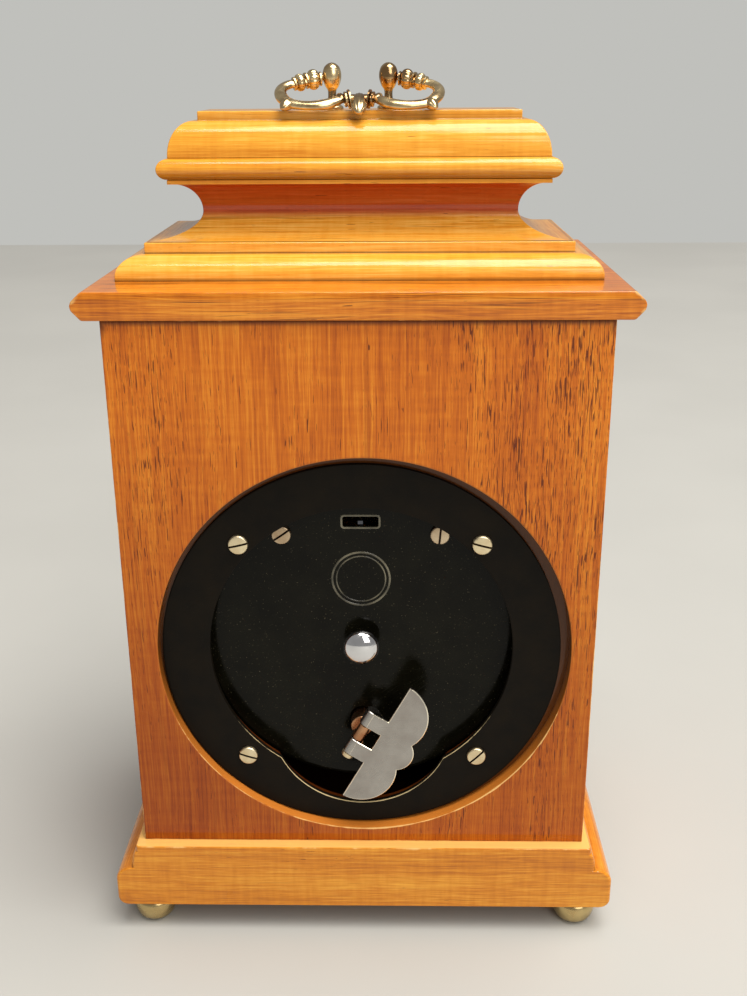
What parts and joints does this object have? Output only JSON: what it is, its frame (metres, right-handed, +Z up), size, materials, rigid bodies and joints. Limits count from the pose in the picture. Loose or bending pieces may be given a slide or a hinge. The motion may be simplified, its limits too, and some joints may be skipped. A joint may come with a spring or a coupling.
{
  "type": "bracket clock",
  "caption": "Free-standing wooden bracket clock with a bell top, folding brass handle, moulded plinth on bun feet, arched glazed dial and a rear-wound movement in a round opening.",
  "frame": {"origin": "on the surface the feet stand on, under the middle of the plinth", "axes": "+Z up, the dial faces -Y, the round winding opening faces +Y"},
  "size_m": [0.1502, 0.105, 0.2506],
  "materials": {
    "pale_wood": "clear gloss lacquer over golden brown grain",
    "red_wood": "clear gloss lacquer over orange brown grain with dark pores",
    "foot_brass": "polished, slightly tarnished",
    "handle_brass": "aged, gold bronze highlights",
    "ring_black": "satin black",
    "cover_black": "gloss black",
    "screw_brass": "pale, brushed",
    "screw_steel": "plain",
    "key_nickel": "polished nickel",
    "post_brass": "coppery",
    "knob_chrome": "mirror chrome",
    "bright_brass": "polished",
    "silvered": "silvered, satin",
    "hand_blue": "blued steel",
    "glass": "clear",
    "plain_steel": "turned",
    "spring_steel": "tempered"
  },
  "bodies": {
    "case": {"plinth": "pale_wood", "foot_back_left": "foot_brass", "foot_back_right": "foot_brass", "foot_front_left": "foot_brass", "foot_front_right": "foot_brass", "back_panel": "red_wood", "side_panel_left": "red_wood", "side_panel_right": "red_wood", "front_panel": "red_wood", "cornice_slab": "pale_wood", "lower_moulding": "pale_wood", "bell_neck": "red_wood", "cushion_top": "pale_wood", "handle_post_left": "handle_brass", "handle_post_right": "handle_brass", "mounting_ring": "ring_black", "ring_screw_upper_left": "screw_brass", "ring_screw_upper_right": "screw_brass", "ring_screw_lower_left": "screw_brass", "ring_screw_lower_right": "screw_brass", "dust_cover": "cover_black", "cover_screw_left": "screw_steel", "cover_screw_right": "screw_steel", "dial_plate": "bright_brass", "chapter_ring": "silvered", "spandrel_upper_left": "bright_brass", "spandrel_upper_right": "bright_brass", "spandrel_lower_left": "bright_brass", "spandrel_lower_right": "bright_brass", "dial_glass": "glass", "dial_bezel": "bright_brass", "movement_back_plate": "bright_brass", "movement_front_plate": "bright_brass", "movement_pillar_left": "bright_brass", "movement_pillar_right": "bright_brass", "movement_pillar_lower": "bright_brass", "escapement_bridge": "bright_brass"},
    "handle": {"handle_bail": "handle_brass"},
    "winding_shaft": {"winding_key_post": "post_brass", "key_pivot_screw": "screw_brass", "barrel_arbor": "plain_steel", "ratchet_wheel": "plain_steel"},
    "key_wing": {"winding_key": "key_nickel"},
    "hand_shaft": {"set_knob": "knob_chrome", "centre_arbor": "plain_steel", "minute_hand": "hand_blue"},
    "minute_gear": {"minute_wheel": "bright_brass"},
    "hour_pipe": {"hour_wheel": "bright_brass", "hour_hand": "hand_blue"},
    "barrel": {"mainspring_barrel": "bright_brass", "mainspring": "spring_steel"},
    "intermediate_gear": {"intermediate_wheel": "bright_brass"},
    "centre_gear": {"centre_wheel": "bright_brass"},
    "third_gear": {"third_wheel": "bright_brass"},
    "fourth_gear": {"fourth_wheel": "bright_brass"},
    "escape_gear": {"escape_wheel": "bright_brass"},
    "lever": {"pallet_lever": "plain_steel"},
    "balance": {"balance_wheel": "bright_brass"},
    "regulator": {"regulator_lever": "plain_steel"},
    "click": {"ratchet_click": "plain_steel"}
  },
  "joints": [
    {"name": "handle_fold", "type": "hinge", "parent": "case", "child": "handle", "pos_m": [0, 0.0015, 0.2467], "axis": [1, 0, 0], "range_deg": [0, 234]},
    {"name": "winding", "type": "hinge", "parent": "case", "child": "winding_shaft", "pos_m": [0, 0, 0.0676], "axis": [0, 1, 0], "continuous": true},
    {"name": "key_fold", "type": "hinge", "parent": "winding_shaft", "child": "key_wing", "pos_m": [0, 0.0478, 0.0676], "axis": [0.4818, 0, -0.8763], "range_deg": [0, 83]},
    {"name": "hand_setting", "type": "hinge", "parent": "case", "child": "hand_shaft", "pos_m": [0, 0, 0.0931], "axis": [0, 1, 0], "continuous": true},
    {"name": "minute_gear_turn", "type": "hinge", "parent": "case", "child": "minute_gear", "pos_m": [-0.007, 0, 0.08098], "axis": [0, 1, 0], "continuous": true},
    {"name": "hour_turn", "type": "hinge", "parent": "case", "child": "hour_pipe", "pos_m": [0, 0, 0.0931], "axis": [0, 1, 0], "continuous": true},
    {"name": "fourth_turn", "type": "hinge", "parent": "case", "child": "fourth_gear", "pos_m": [0.00166, 0, 0.11173], "axis": [0, 1, 0], "continuous": true},
    {"name": "barrel_turn", "type": "hinge", "parent": "case", "child": "barrel", "pos_m": [0, 0, 0.0676], "axis": [0, 1, 0], "continuous": true},
    {"name": "intermediate_turn", "type": "hinge", "parent": "case", "child": "intermediate_gear", "pos_m": [0.01522, 0, 0.08349], "axis": [0, 1, 0], "continuous": true},
    {"name": "centre_turn", "type": "hinge", "parent": "case", "child": "centre_gear", "pos_m": [0, 0, 0.0931], "axis": [0, 1, 0], "continuous": true},
    {"name": "third_turn", "type": "hinge", "parent": "case", "child": "third_gear", "pos_m": [0.01327, 0, 0.10239], "axis": [0, 1, 0], "continuous": true},
    {"name": "escape_turn", "type": "hinge", "parent": "case", "child": "escape_gear", "pos_m": [-0.01049, 0, 0.10976], "axis": [0, 1, 0], "continuous": true},
    {"name": "lever_rock", "type": "hinge", "parent": "case", "child": "lever", "pos_m": [-0.00573, 0, 0.11309], "axis": [0, 1, 0], "range_deg": [-5, 5]},
    {"name": "balance_swing", "type": "hinge", "parent": "case", "child": "balance", "pos_m": [0, 0, 0.1171], "axis": [0, 1, 0], "range_deg": [-135, 135]},
    {"name": "regulator_shift", "type": "hinge", "parent": "case", "child": "regulator", "pos_m": [0, 0, 0.1171], "axis": [0, 1, 0], "range_deg": [-8, 8]},
    {"name": "click_lift", "type": "hinge", "parent": "case", "child": "click", "pos_m": [0.0134, 0, 0.0731], "axis": [0, 1, 0], "range_deg": [0, 8]}
  ],
  "couplings": [
    {"joint": "minute_gear_turn", "follows": "hand_setting", "ratio": -0.33333},
    {"joint": "hour_turn", "follows": "hand_setting", "ratio": 0.083333},
    {"joint": "third_turn", "follows": "fourth_turn", "ratio": -0.13333},
    {"joint": "centre_turn", "follows": "fourth_turn", "ratio": 0.016667},
    {"joint": "intermediate_turn", "follows": "fourth_turn", "ratio": -0.0033333},
    {"joint": "barrel_turn", "follows": "fourth_turn", "ratio": 0.00055556},
    {"joint": "escape_turn", "follows": "fourth_turn", "ratio": -10}
  ]
}
